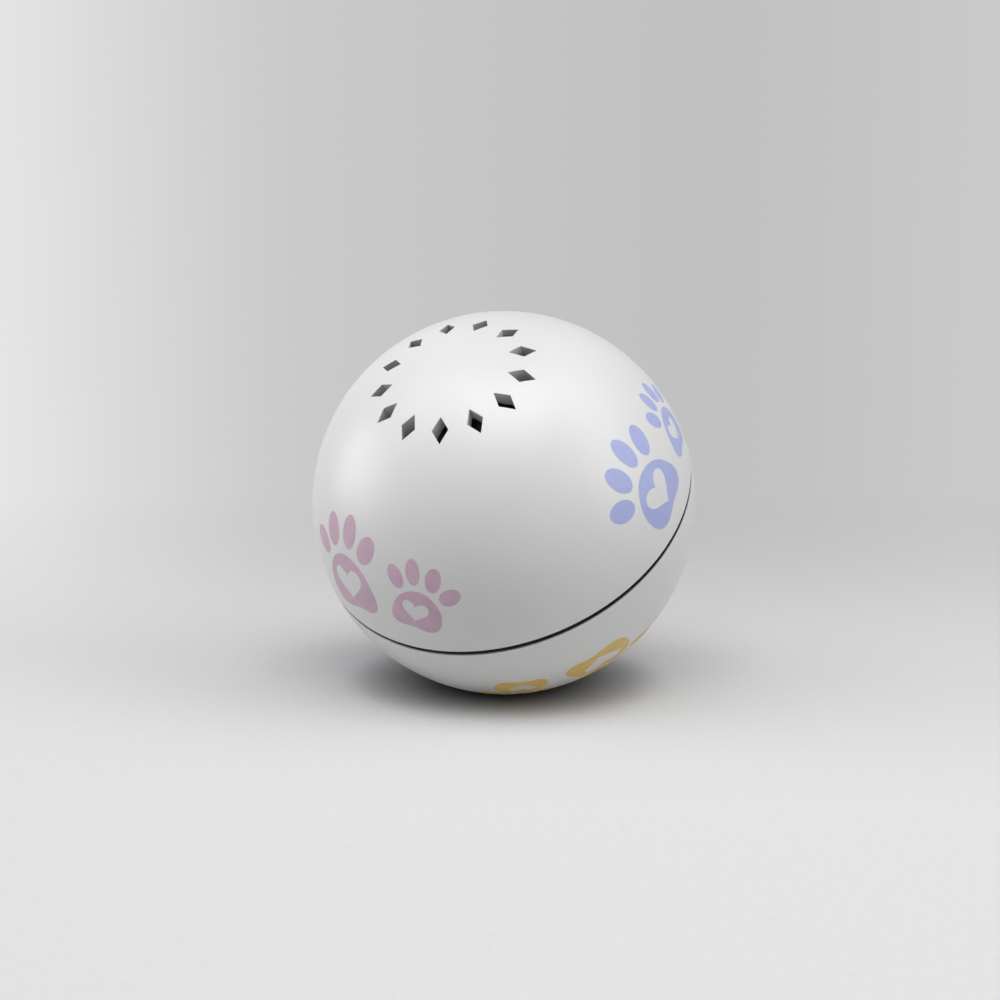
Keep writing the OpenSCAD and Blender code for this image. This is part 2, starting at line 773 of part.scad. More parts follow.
// Lid under the catnip, with a bayonet spigot, sound holes and a finger bar
module catnip_lid() color("dimgray") {
    difference() {
        rod(chamber_r + lid_flange, lid_z, lid_z + lid_t);
        sound_holes(1, lid_hole_rings, lid_hole_pitch, lid_hole_d, lid_z, lid_z + lid_t);
    }
    ring(spigot_r, spigot_r - spigot_wall, lid_z + lid_t - bond, spigot_h + bond);
    for (k = [0:bayonet_count - 1])
        arc_block(spigot_r - bond, spigot_r + bayonet_out, bayonet_top - bayonet_h,
            bayonet_h, bayonet_arc, 360 * k / bayonet_count);
    rounded_plate(finger_bar_l / 2, finger_bar_w / 2, finger_bar_r,
        lid_z - finger_bar_h, finger_bar_h + bond);
}

as_it_lies() lower_shell();
as_it_lies() deck();
as_it_lies() deck_screws();
as_it_lies() speaker_gasket();
as_it_lies() speaker_cone();
as_it_lies() speaker_frame();
as_it_lies() speaker_magnet();
as_it_lies() speaker_leads();
as_it_lies() circuit_board();
as_it_lies() board_screws();
as_it_lies() sound_chip();
as_it_lies() surface_parts();
as_it_lies() motion_sensor();
as_it_lies() capacitor();
as_it_lies() switch_body();
as_it_lies() switch_knob();
as_it_lies() cell_1();
as_it_lies() cell_2();
as_it_lies() cell_3();
as_it_lies() positive_contact();
as_it_lies() negative_contact();
as_it_lies() contact_spring();
as_it_lies() battery_leads();
as_it_lies() battery_door();
as_it_lies() door_screws();
as_it_lies() seam_seal();
as_it_lies() upper_shell();
as_it_lies() thread_ring();
as_it_lies() vent_screen();
as_it_lies() chamber_ring();
as_it_lies() catnip_lid();
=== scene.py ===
import json
import math

import bmesh
import bpy
from mathutils import Matrix, Vector

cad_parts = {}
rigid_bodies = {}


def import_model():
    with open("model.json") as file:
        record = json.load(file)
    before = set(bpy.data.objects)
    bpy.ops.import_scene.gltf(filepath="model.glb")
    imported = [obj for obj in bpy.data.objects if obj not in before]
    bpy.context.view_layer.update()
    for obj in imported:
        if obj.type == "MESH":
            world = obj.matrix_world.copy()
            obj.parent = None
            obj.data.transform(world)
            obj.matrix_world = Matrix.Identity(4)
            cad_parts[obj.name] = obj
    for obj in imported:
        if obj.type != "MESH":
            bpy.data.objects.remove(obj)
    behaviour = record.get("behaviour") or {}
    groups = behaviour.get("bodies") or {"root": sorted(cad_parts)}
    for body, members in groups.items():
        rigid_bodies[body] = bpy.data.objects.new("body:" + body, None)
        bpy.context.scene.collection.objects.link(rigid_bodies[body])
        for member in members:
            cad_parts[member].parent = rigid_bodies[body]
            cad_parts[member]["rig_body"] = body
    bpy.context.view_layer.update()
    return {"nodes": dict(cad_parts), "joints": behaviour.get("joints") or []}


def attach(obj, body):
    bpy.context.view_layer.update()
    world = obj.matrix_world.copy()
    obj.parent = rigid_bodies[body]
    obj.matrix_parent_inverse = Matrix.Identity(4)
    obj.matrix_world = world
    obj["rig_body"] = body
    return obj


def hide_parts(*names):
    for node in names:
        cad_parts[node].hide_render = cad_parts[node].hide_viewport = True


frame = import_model()


# The picture: the ball lies on a pale paper sweep under three softboxes and between two cards,
# seen from a little above with a short telephoto lens. None of this belongs to the ball.
joints = {joint["name"]: joint for joint in frame["joints"]}
ball_centre = Vector(joints["half_twist"]["pos_m"])
view_distance = 0.2675
view_rise = math.radians(10)
view_lens = 73.5
view_aim = ball_centre + Vector((-0.00054, 0, 0.00033))
view_from = ball_centre + view_distance * Vector((0, -math.cos(view_rise), math.sin(view_rise)))

scene = bpy.context.scene
scene.view_settings.view_transform = "Standard"
bpy.ops.object.select_all(action="DESELECT")
bpy.ops.object.camera_add(location=view_from)
camera = bpy.context.object
camera.rotation_euler = (view_aim - view_from).to_track_quat("-Z", "Y").to_euler()
camera.data.lens = view_lens
camera.data.clip_start = 0.01
scene.camera = camera

sweep_size = 3.0
sweep_back = 0.75
sweep_rise = 1.6
sweep_bend = 0.45
bpy.ops.mesh.primitive_plane_add(size=sweep_size, location=(0, sweep_back - sweep_size / 2, 0))
sweep = bpy.context.object
sweep.name = "paper_sweep"
bpy.ops.object.transform_apply(location=True, rotation=True, scale=True)
bpy.ops.object.mode_set(mode="EDIT")


def pick_back_edges(low_only):
    """Selects the edges along the back of the paper, all of them or the one on the floor."""
    bpy.ops.mesh.select_all(action="DESELECT")
    for edge in bmesh.from_edit_mesh(sweep.data).edges:
        at_back = all(abs(end.co.y - sweep_back) < 1e-4 for end in edge.verts)
        edge.select_set(at_back and not (low_only and any(end.co.z > 1e-4 for end in edge.verts)))


pick_back_edges(False)
bpy.ops.mesh.extrude_region_move(TRANSFORM_OT_translate={"value": (0, 0, sweep_rise)})
pick_back_edges(True)
bpy.ops.mesh.bevel(offset=sweep_bend, segments=24)
bpy.ops.object.mode_set(mode="OBJECT")
bpy.ops.object.shade_smooth()


def new_finish(name):
    """A material with its node tree, its shader and the socket of its object coordinates."""
    finish = bpy.data.materials.new(name)
    finish.use_nodes = True
    tree = finish.node_tree
    place = tree.nodes.new("ShaderNodeTexCoord")
    return finish, tree, tree.nodes["Principled BSDF"], place.outputs["Object"]


def clouds(tree, place, scale, detail=3.0):
    """The socket of a soft noise pattern, its scale in cells to the metre."""
    noise = tree.nodes.new("ShaderNodeTexNoise")
    noise.inputs["Scale"].default_value = scale
    noise.inputs["Detail"].default_value = detail
    tree.links.new(place, noise.inputs["Vector"])
    return noise.outputs["Fac"]


def toned(tree, pattern, *stops):
    """The socket of a colour that follows a pattern through stops of (place, colour)."""
    ramp = tree.nodes.new("ShaderNodeValToRGB")
    while len(ramp.color_ramp.elements) < len(stops):
        ramp.color_ramp.elements.new(1)
    for stop, (at, colour) in zip(ramp.color_ramp.elements, stops):
        stop.position = at
        stop.color = (*colour, 1)
    tree.links.new(pattern, ramp.inputs["Fac"])
    return ramp.outputs["Color"]


def spread(tree, pattern, low, high, to_low=0.0, to_high=1.0):
    """The socket of a pattern whose range from low to high is carried over to another range."""
    remap = tree.nodes.new("ShaderNodeMapRange")
    remap.inputs["From Min"].default_value = low
    remap.inputs["From Max"].default_value = high
    remap.inputs["To Min"].default_value = to_low
    remap.inputs["To Max"].default_value = to_high
    tree.links.new(pattern, remap.inputs["Value"])
    return remap.outputs["Result"]


def grey(tone):
    """A colour without hue."""
    return (tone, tone, tone)


def looked_at(tree):
    """The socket that is 1 for a ray from the lens, from a shine or through a clear piece."""
    rays = tree.nodes.new("ShaderNodeLightPath")
    seen = rays.outputs["Is Camera Ray"]
    for kind in ("Is Glossy Ray", "Is Transmission Ray"):
        either = tree.nodes.new("ShaderNodeMath")
        either.operation = "MAXIMUM"
        tree.links.new(seen, either.inputs[0])
        tree.links.new(rays.outputs[kind], either.inputs[1])
        seen = either.outputs["Value"]
    return seen


# The paper is lit as one sheet. Its far part glows with painted light, paler on the left and
# darkest just behind the ball, and a painted contact shadow darkens it round the ball's foot.
# It gives back less light to the ball than it shows, but for the part close under the ball.
sweep_paper, tree, shader, place = new_finish("pale_paper")
shader.inputs["Roughness"].default_value = 0.95
shader.inputs["Specular IOR Level"].default_value = 0.1
depth = tree.nodes.new("ShaderNodeSeparateXYZ")
tree.links.new(place, depth.inputs["Vector"])
fan = tree.nodes.new("ShaderNodeMapping")
fan.inputs["Location"].default_value = (0, -view_from.y, 0)
tree.links.new(place, fan.inputs["Vector"])
bearing = tree.nodes.new("ShaderNodeTexGradient")
bearing.gradient_type = "RADIAL"
tree.links.new(fan.outputs["Vector"], bearing.inputs["Vector"])
# Painted light: the backdrop's tone, paler to the left and darkest just behind the ball, colours the far
# paper and its glow.
backdrop_painted_light = toned(
    tree, bearing.outputs["Fac"], (0, grey(0.785)), (0.25, grey(0.585)), (0.714, grey(0.585)),
    (0.7255, grey(0.545)), (0.735, grey(0.527)), (0.7674, grey(0.59)), (0.781, grey(0.71)),
    (0.788, grey(0.785)))
paper_tone = toned(tree, clouds(tree, place, 900, 5), (0.3, grey(0.84)), (0.7, grey(0.86)))
blend = tree.nodes.new("ShaderNodeMix")
blend.data_type = "RGBA"
tree.links.new(spread(tree, depth.outputs["Y"], -0.05, 0.16), blend.inputs["Factor"])
tree.links.new(paper_tone, blend.inputs["A"])
tree.links.new(backdrop_painted_light, blend.inputs["B"])
# Painted contact shadow: where the ball closes the paper in, within 14 mm, its colour is drawn towards
# near-black.
under = tree.nodes.new("ShaderNodeAmbientOcclusion")
under.inputs["Distance"].default_value = 0.014
contact = tree.nodes.new("ShaderNodeMix")
contact.data_type = "RGBA"
contact.inputs["A"].default_value = (0.03, 0.03, 0.03, 1)
tree.links.new(spread(tree, under.outputs["AO"], 0.22, 0.68), contact.inputs["Factor"])
tree.links.new(blend.outputs["Result"], contact.inputs["B"])
tree.links.new(contact.outputs["Result"], shader.inputs["Base Color"])
reach = tree.nodes.new("ShaderNodeVectorMath")
reach.operation = "LENGTH"
tree.links.new(place, reach.inputs[0])
# The far paper glows with that painted light, though it is no lamp.
far_painted_glow = tree.nodes.new("ShaderNodeEmission")
tree.links.new(backdrop_painted_light, far_painted_glow.inputs["Color"])
shown = tree.nodes.new("ShaderNodeMixShader")
far = tree.nodes.new("ShaderNodeMath")
far.operation = "MAXIMUM"
tree.links.new(spread(tree, depth.outputs["Y"], 0.02, 0.15), far.inputs[0])
tree.links.new(spread(tree, reach.outputs["Value"], 0.35, 0.7), far.inputs[1])
tree.links.new(far.outputs["Value"], shown.inputs["Fac"])
tree.links.new(shader.outputs["BSDF"], shown.inputs[1])
tree.links.new(far_painted_glow.outputs["Emission"], shown.inputs[2])
bounce = tree.nodes.new("ShaderNodeBsdfDiffuse")
near_or_far = spread(tree, reach.outputs["Value"], 0.012, 0.035)
tree.links.new(toned(tree, near_or_far, (0, grey(0.76)), (1, grey(0.41))), bounce.inputs["Color"])
paper_mix = tree.nodes.new("ShaderNodeMixShader")
tree.links.new(looked_at(tree), paper_mix.inputs["Fac"])
tree.links.new(bounce.outputs["BSDF"], paper_mix.inputs[1])
tree.links.new(shown.outputs["Shader"], paper_mix.inputs[2])
tree.links.new(paper_mix.outputs["Shader"], tree.nodes["Material Output"].inputs["Surface"])
sweep.data.materials.append(sweep_paper)

# The world gives a faint even light, and where it is seen it glows with the paper ends' painted light,
# paler on the left.
world = bpy.data.worlds.new("studio")
world.use_nodes = True
tree = world.node_tree
tree.nodes["Background"].inputs["Color"].default_value = (0.99, 0.995, 1.0, 1)
toward = tree.nodes.new("ShaderNodeTexCoord")
aside = tree.nodes.new("ShaderNodeSeparateXYZ")
tree.links.new(toward.outputs["Generated"], aside.inputs["Vector"])
seen_painted_light = spread(tree, aside.outputs["X"], -0.5, -0.1, 0.785, 0.59)
world_light = spread(tree, looked_at(tree), 0, 1, 0.24)
tree.links.new(seen_painted_light, world_light.node.inputs["To Max"])
tree.links.new(world_light, tree.nodes["Background"].inputs["Strength"])
scene.world = world
for name, at, size, watts in (
    ("overhead_softbox", (0, -0.31, 0.67), 0.52, 2.2),
    ("right_softbox", (0.4, -0.1, 0.62), 0.5, 1.07),
    ("left_softbox", (-0.4, -0.1, 0.62), 0.5, 0.98),
    ("right_card", (0.75, -0.25, 0.3), 0.5, 1.25),
    ("left_card", (-0.8, 0.1, 0.12), 0.55, 2.2),
):
    bpy.ops.object.light_add(type="AREA", location=at)
    lamp = bpy.context.object
    lamp.name = name
    lamp.data.size = size
    lamp.data.energy = watts
    lamp.rotation_euler = (ball_centre - Vector(at)).to_track_quat("-Z", "Y").to_euler()


# Lower half of the casing: grey ABS, lacquered white outside, with a threaded collar that the
# upper half screws onto, four posts for the sound deck's screws and a rebated rim for the seal.
mm = 0.001
axis = Vector(joints["half_twist"]["axis"]).normalized()
heavy = -Vector(joints["knob_slide"]["axis"])
heavy = (heavy - heavy.dot(axis) * axis).normalized()
side = axis.cross(heavy)
ball_lies = Matrix.Translation(ball_centre) @ Matrix((heavy, side, axis)).transposed().to_4x4()

ball_r = 25.0
cavity_r = 23.0
rim_z = 0.3
rim_edge = 0.05
lip_r = 24.4
lip_low = -0.46
collar_r = 20.83
collar_bore_r = 19.23
collar_top = 5.0
collar_foot = -3.0
collar_edge = 0.3
thread_lead = 12.0
thread_h = 1.2
thread_taper = 0.24
thread_root = 0.4
ridge_r = 21.73
ridge_z = 2.03
ridge_arc = 50
thread_turns = (0, 120, 240)
thread_step = 2
post_r = 2.2
post_bore_r = 0.95
post_bore_foot = -6.5
post_ring = 16.38
post_top = -1.1
post_turns = (-125, -75, 75, 125)
post_sink = 1.0
lathe_steps = 144
bar_steps = 48
lacquer_depth = 0.11
skin_slack = 0.004


def only(piece):
    """Makes a piece the one that is selected and active."""
    bpy.ops.object.select_all(action="DESELECT")
    piece.select_set(True)
    bpy.context.view_layer.objects.active = piece
    return piece


def arc(centre_r, centre_z, radius, start, end, steps):
    """Points of an arc in the outline plane, its angles counted from the outward side."""
    turns = [math.radians(start + (end - start) * k / steps) for k in range(steps + 1)]
    return [(centre_r + radius * math.cos(a), centre_z + radius * math.sin(a)) for a in turns]


def turned_body(name, outline, at_x=0.0):
    """A body spun from its outline of (radius, height) in mm, about the ball's axis or beside it."""
    bpy.ops.object.select_all(action="DESELECT")
    bpy.ops.mesh.primitive_circle_add(vertices=len(outline), radius=1)
    piece = bpy.context.object
    piece.name = name
    for corner, (radius, height) in zip(piece.data.vertices, outline):
        corner.co = ((at_x + radius) * mm, 0, height * mm)
    bpy.ops.object.mode_set(mode="EDIT")
    bpy.ops.mesh.select_all(action="SELECT")
    bpy.ops.mesh.spin(steps=lathe_steps, angle=math.tau, center=(at_x * mm, 0, 0), axis=(0, 0, 1))
    bpy.ops.mesh.select_all(action="SELECT")
    bpy.ops.mesh.remove_doubles(threshold=1e-6)
    bpy.ops.mesh.delete_loose(use_verts=True, use_edges=True, use_faces=False)
    bpy.ops.mesh.select_all(action="SELECT")
    bpy.ops.mesh.normals_make_consistent(inside=False)
    bpy.ops.object.mode_set(mode="OBJECT")
    return piece


def lofted(name, rings):
    """A closed skin through rings of points in mm: a grid rolled up, with its ends filled."""
    around, levels = len(rings[0]), len(rings)
    bpy.ops.object.select_all(action="DESELECT")
    bpy.ops.mesh.primitive_grid_add(x_subdivisions=around, y_subdivisions=levels - 1)
    piece = bpy.context.object
    piece.name = name
    points = [Vector(point) * mm for ring in rings for point in (*ring, ring[0])]
    for corner, point in zip(piece.data.vertices, points):
        corner.co = point
    bpy.ops.object.mode_set(mode="EDIT")
    bpy.ops.mesh.select_all(action="SELECT")
    bpy.ops.mesh.remove_doubles(threshold=1e-7)
    bpy.ops.mesh.fill_holes(sides=0)
    bpy.ops.mesh.select_all(action="SELECT")
    bpy.ops.mesh.normals_make_consistent(inside=False)
    bpy.ops.object.mode_set(mode="OBJECT")
    return piece


def thread_rib(name, root_r, tip_r, low, span, turn):
    """One start of the coarse thread, climbing along its arc, tapered from root to tip."""
    section = ((root_r, 0), (root_r, thread_h), (tip_r, thread_h - thread_taper), (tip_r, thread_taper))
    rings = []
    for step in range(span // thread_step + 1):
        swept = thread_step * step
        a = math.radians(swept + turn)
        rise = low + thread_lead * swept / 360
        rings.append([(r * math.cos(a), r * math.sin(a), rise + z) for r, z in section])
    return lofted(name, rings)


def round_bar(radius, low, high, at_x, at_y):
    """An upright round bar in mm, for a post or a drill."""
    bpy.ops.object.select_all(action="DESELECT")
    bpy.ops.mesh.primitive_cylinder_add(
        vertices=bar_steps, radius=radius * mm, depth=(high - low) * mm,
        location=(at_x * mm, at_y * mm, (low + high) / 2 * mm))
    return bpy.context.object


def combine(piece, others, how):
    """Joins or cuts a piece by others with an exact boolean, and removes the others."""
    for other in others:
        step = only(piece).modifiers.new(how.lower(), "BOOLEAN")
        step.operation = how
        step.solver = "EXACT"
        step.object = other
        bpy.ops.object.modifier_apply(modifier=step.name)
        bpy.data.objects.remove(other)
    return piece


def laid(piece, smooth=35):
    """Leans a piece that was made upright the way the ball lies, with its place in its mesh."""
    only(piece).matrix_world = ball_lies
    bpy.ops.object.transform_apply(location=True, rotation=True, scale=True)
    bpy.ops.object.shade_smooth_by_angle(angle=math.radians(smooth))
    return piece


def fitted(piece, body, slot, *nodes):
    """Puts a piece on the body it rides on and hides the nodes it stands for; the slot is not used."""
    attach(piece, body)
    if nodes:
        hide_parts(*nodes)
    return piece


def polished_outside(piece):
    """Gloss where the skin lies on the outer sphere, with normals straight from the centre."""
    mesh = piece.data
    for face in mesh.polygons:
        out = (face.center - ball_centre).length
        face.material_index = 0 if out > (ball_r - lacquer_depth) * mm else 1
    normals = [Vector(corner.vector) for corner in mesh.corner_normals]
    for face in mesh.polygons:
        for k in face.loop_indices:
            arm = mesh.vertices[mesh.loops[k].vertex_index].co - ball_centre
            if face.material_index == 0 and arm.length > (ball_r - skin_slack) * mm:
                normals[k] = arm.normalized()
    mesh.normals_split_custom_set(normals)


low_rim_r = math.sqrt(ball_r**2 - (lip_low - rim_edge) ** 2)
low_rim_turn = math.degrees(math.asin((lip_low - rim_edge) / ball_r))
foot_turn = math.degrees(math.asin(-collar_foot / cavity_r))
lower_outline = [
    *arc(0, 0, ball_r, -90, low_rim_turn, 48),
    *arc(low_rim_r - rim_edge, lip_low - rim_edge, rim_edge, 0, 90, 4)[1:],
    (lip_r, lip_low),
    (lip_r, -rim_z),
    (collar_r, -rim_z),
    *arc(collar_r - collar_edge, collar_top - collar_edge, collar_edge, 0, 90, 4),
    *arc(collar_bore_r + collar_edge, collar_top - collar_edge, collar_edge, 90, 180, 4),
    (collar_bore_r, collar_foot),
    *arc(0, 0, cavity_r, -foot_turn, -90, 40),
]
lower_casing = turned_body("lower_casing", lower_outline)
ridges = [
    thread_rib("ridge", collar_r - thread_root, ridge_r, ridge_z, ridge_arc, turn)
    for turn in thread_turns]
post_foot = -math.sqrt((cavity_r + post_sink) ** 2 - (post_ring + post_r) ** 2)
post_places = []
for turn in post_turns:
    a = math.radians(turn)
    post_places.append((post_ring * math.cos(a), post_ring * math.sin(a)))
posts = [round_bar(post_r, post_foot, post_top, *at) for at in post_places]
drills = [round_bar(post_bore_r, post_bore_foot, 0, *at) for at in post_places]
combine(lower_casing, ridges + posts, "UNION")
laid(combine(lower_casing, drills, "DIFFERENCE"))


def grained(tree, shader, pattern, depth, strength=0.5):
    """A fine relief from a pattern, its depth in mm."""
    bump = tree.nodes.new("ShaderNodeBump")
    bump.inputs["Strength"].default_value = strength
    bump.inputs["Distance"].default_value = depth * mm
    tree.links.new(pattern, bump.inputs["Height"])
    tree.links.new(bump.outputs["Normal"], shader.inputs["Normal"])


def moulded(name, dark, light, rough, patch=420, grain=7000, relief=0.008):
    """Moulded plastic or rubber: faint patches of tone, uneven gloss and the mould's grain."""
    finish, tree, shader, place = new_finish(name)
    tone = toned(tree, clouds(tree, place, patch), (0.3, dark), (0.7, light))
    tree.links.new(tone, shader.inputs["Base Color"])
    gloss = spread(tree, clouds(tree, place, 2 * patch, 4), 0.3, 0.7, *rough)
    tree.links.new(gloss, shader.inputs["Roughness"])
    grained(tree, shader, clouds(tree, place, grain, 2), relief)
    return finish, shader


white_gloss, shader = moulded(
    "white_gloss", (0.845, 0.845, 0.84), (0.87, 0.87, 0.865), (0.36, 0.46), 60, 2600, 0.002)
shader.inputs["Coat Weight"].default_value = 0.9
shader.inputs["Coat Roughness"].default_value = 0.36
grey_matt, shader = moulded("grey_matt", grey(0.65), grey(0.70), (0.5, 0.62), 420, 4200, 0.02)
for finish in (white_gloss, grey_matt):
    lower_casing.data.materials.append(finish)
polished_outside(lower_casing)
fitted(lower_casing, "lower_half", "shell_white", "lower_shell")


# Circuit board: green glass-fibre sheet screwed to posts under the deck. On it are the sound
# chip under its black blob, small ceramic parts, a tilt sensor, a capacitor and the switch.
def eased(node, name, finish, slot, width, segments=2):
    """A copy of a CAD node with its corners rounded over, which stands for it."""
    source = frame["nodes"][node]
    body = source["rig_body"]
    piece = source.copy()
    piece.data = source.data.copy()
    scene.collection.objects.link(piece)
    piece.parent = None
    piece.matrix_world = Matrix()
    piece.name = name
    for key in list(piece.keys()):
        del piece[key]
    only(piece)
    bpy.ops.mesh.customdata_custom_splitnormals_clear()
    bpy.ops.object.mode_set(mode="EDIT")
    bpy.ops.mesh.select_all(action="SELECT")
    bpy.ops.mesh.remove_doubles(threshold=1e-6)
    bpy.ops.mesh.dissolve_limited(angle_limit=math.radians(0.5))
    bpy.ops.object.mode_set(mode="OBJECT")
    edges = piece.modifiers.new("eased edges", "BEVEL")
    edges.width = width * mm
    edges.segments = segments
    edges.limit_method = "ANGLE"
    edges.angle_limit = math.radians(40)
    edges.use_clamp_overlap = False
    bpy.ops.object.modifier_apply(modifier=edges.name)
    bpy.ops.object.shade_smooth_by_angle(angle=math.radians(35))
    flats = piece.modifiers.new("flat faces", "WEIGHTED_NORMAL")
    flats.keep_sharp = True
    bpy.ops.object.modifier_apply(modifier=flats.name)
    piece.data.materials.clear()
    piece.data.materials.append(finish)
    return fitted(piece, body, slot, node)


def worked_metal(name, dark, light, rough, scratch=9000):
    """Bare metal with faint stains, uneven polish and fine scratches."""
    finish, shader = moulded(name, dark, light, rough, 600, scratch, 0.002)
    shader.inputs["Metallic"].default_value = 1
    return finish


board_lacquer, shader = moulded(
    "board_lacquer", (0.012, 0.13, 0.05), (0.025, 0.21, 0.085), (0.25, 0.4), 1400, 4000)
black_epoxy, shader = moulded(
    "black_epoxy", (0.012, 0.012, 0.013), (0.028, 0.028, 0.03), (0.16, 0.3), 900, 1800, 0.02)
ceramic, shader = moulded("ceramic", (0.36, 0.26, 0.15), (0.5, 0.38, 0.23), (0.35, 0.55), 1800)
can_steel = worked_metal("can_steel", (0.52, 0.52, 0.54), (0.64, 0.64, 0.66), (0.24, 0.4))
screw_steel = worked_metal("screw_steel", (0.56, 0.56, 0.57), (0.7, 0.7, 0.71), (0.22, 0.38))
blue_sleeve, shader = moulded("blue_sleeve", (0.02, 0.04, 0.16), (0.045, 0.08, 0.26), (0.22, 0.34), 700)
eased("circuit_board", "sound_board", board_lacquer, "board_green", 0.06)
eased("sound_chip", "chip_blob", black_epoxy, "epoxy_black", 0.1)
eased("surface_parts", "ceramic_parts", ceramic, "chip_tan", 0.06)
eased("motion_sensor", "tilt_sensor", can_steel, "part_steel", 0.12)
eased("capacitor", "capacitor_can", blue_sleeve, "capacitor_blue", 0.35, 3)
eased("switch_body", "switch_frame", can_steel, "part_steel", 0.1)
eased("board_screws", "board_fixings", screw_steel, "screw_steel", 0.12)


# Speaker: a thin film cone and its steel magnet in a black moulded frame, pressed up against
# the deck's grille with a foam ring between, and two short leads down to the board.
speaker_x = -8.25
gasket_in_r, gasket_out_r = 6.7, 8.0
gasket_low, gasket_high = -1.6, -1.1
gasket_round = 0.18
lead_d = 0.9
lead_stub = 0.9
speaker_lead_x, speaker_lead_y = -15.35, 1.6
speaker_lead_top, board_top = -2.4, -8.2
speaker_lead_bow = (-0.5, 0.2)

black_frame, shader = moulded("black_frame", grey(0.03), grey(0.05), (0.4, 0.55))
film, shader = moulded("cone_film", (0.42, 0.42, 0.40), (0.54, 0.54, 0.52), (0.2, 0.34), 900, 3000)
eased("speaker_frame", "speaker_basket", black_frame, "inner_grey", 0.12)
eased("speaker_magnet", "speaker_pot", can_steel, "part_steel", 0.12)
eased("speaker_cone", "speaker_film", film, "film_clear_grey", 0.03)

gasket_outline = []
for r, z, start in (
    (gasket_out_r - gasket_round, gasket_low + gasket_round, -90),
    (gasket_out_r - gasket_round, gasket_high - gasket_round, 0),
    (gasket_in_r + gasket_round, gasket_high - gasket_round, 90),
    (gasket_in_r + gasket_round, gasket_low + gasket_round, 180),
):
    gasket_outline += arc(r, z, gasket_round, start, start + 90, 4)
foam_ring = laid(turned_body("speaker_foam", gasket_outline, speaker_x))
black_foam, shader = moulded("black_foam", grey(0.012), grey(0.05), (0.85, 0.95), 2500, 3800, 0.09)
foam_ring.data.materials.append(black_foam)
fitted(foam_ring, "lower_half", "foam_black", "speaker_gasket")


def wires(name, routes, thickness, smooth=True):
    """Round wires along routes of points in mm, one spline each, made into one mesh."""
    bpy.ops.object.select_all(action="DESELECT")
    bpy.ops.curve.primitive_bezier_curve_add()
    piece = bpy.context.object
    piece.name = name
    path = piece.data
    path.splines.clear()
    path.bevel_depth = thickness / 2 * mm
    path.bevel_resolution = 4
    path.resolution_u = 8
    path.use_fill_caps = True
    for route in routes:
        if smooth:
            knots = path.splines.new("BEZIER").bezier_points
        else:
            knots = path.splines.new("POLY").points
        knots.add(len(route) - 1)
        for knot, point in zip(knots, route):
            knot.co = Vector(point) * mm if smooth else (*(Vector(point) * mm), 1)
            if smooth:
                knot.handle_left_type = knot.handle_right_type = "AUTO"
    only(piece)
    bpy.ops.object.convert(target="MESH")
    return bpy.context.object


def red_and_black(piece):
    """Colours a pair of leads, red on the one side of the ball and black on the other."""
    for finish in (red_lead, black_lead):
        piece.data.materials.append(finish)
    for face in piece.data.polygons:
        face.material_index = 0 if face.center.y > 0 else 1
    return laid(piece, 50)


red_lead, shader = moulded("red_lead", (0.42, 0.02, 0.015), (0.58, 0.04, 0.03), (0.3, 0.45), 900)
black_lead, shader = moulded("black_lead", grey(0.015), grey(0.035), (0.3, 0.45), 900)
speaker_routes = []
for way in (1, -1):
    x, y = speaker_lead_x, way * speaker_lead_y
    bow_x, bow_y = speaker_lead_bow
    speaker_routes.append([
        (x, y, speaker_lead_top),
        (x, y, speaker_lead_top - lead_stub),
        (x + bow_x, y + way * bow_y, (speaker_lead_top + board_top) / 2),
        (x, y, board_top + lead_stub),
        (x, y, board_top)])
speaker_wires = red_and_black(wires("speaker_wires", speaker_routes, lead_d))
fitted(speaker_wires, "lower_half", "lead_red", "speaker_leads")


# Sound deck: one dark grey moulding that closes the lower half, with the speaker's grille and
# the battery tub in it, held to the posts by four slotted screws.
deck_grey, shader = moulded("deck_grey", grey(0.084), grey(0.098), (0.42, 0.56))
eased("deck", "sound_deck", deck_grey, "inner_grey", 0.12)
eased("deck_screws", "deck_fixings", screw_steel, "screw_steel", 0.14, 3)


# Power: three button cells in a row between a dimpled brass plate and a plate with a conical
# steel spring, and two leads from the plates' tails to the underside of the board.
bay_x, cell_z = 8.55, -6.7
spring_turns = 2.5
spring_steps = 24
spring_foot_r, spring_tip_r = 3.4, 1.4
spring_wire = 0.5
spring_plate_y, spring_cell_y = 9.35, 7.15
lead_tail = Vector((8.55, 12.25, -9.45))
lead_bends = ((0, 0, 0), (0, 0.6, 0), (-2.4, 0.9, -1), (-5, 0, -1.8), (-7.6, -0.8, -2))
lead_pad = Vector((-3.65, 9.7, -9.2))

brass = worked_metal("contact_brass", (0.70, 0.52, 0.22), (0.84, 0.66, 0.32), (0.22, 0.38))
cell_steel = worked_metal("cell_steel", (0.68, 0.67, 0.65), (0.74, 0.73, 0.71), (0.22, 0.28), 12000)
eased("positive_contact", "dimpled_plate", brass, "contact_brass", 0.08)
eased("negative_contact", "spring_plate", brass, "contact_brass", 0.08)
for number in (1, 2, 3):
    eased(f"cell_{number}", f"button_cell_{number}", cell_steel, "cell_steel", 0.3, 3)

coil = []
coil_start = spring_plate_y - spring_wire
coil_run = spring_plate_y - spring_cell_y - 2 * spring_wire
for step in range(int(spring_turns * spring_steps) + 1):
    done = step / (spring_turns * spring_steps)
    a = math.tau * step / spring_steps
    r = spring_foot_r + (spring_tip_r - spring_foot_r) * done
    coil.append((bay_x + r * math.cos(a), coil_start - coil_run * done, cell_z + r * math.sin(a)))
coil = [(coil[0][0], spring_plate_y, coil[0][2]), *coil, (coil[-1][0], spring_cell_y, coil[-1][2])]
spring = laid(wires("cell_spring", [coil], spring_wire, False), 50)
spring.data.materials.append(screw_steel)
fitted(spring, "lower_half", "screw_steel", "contact_spring")

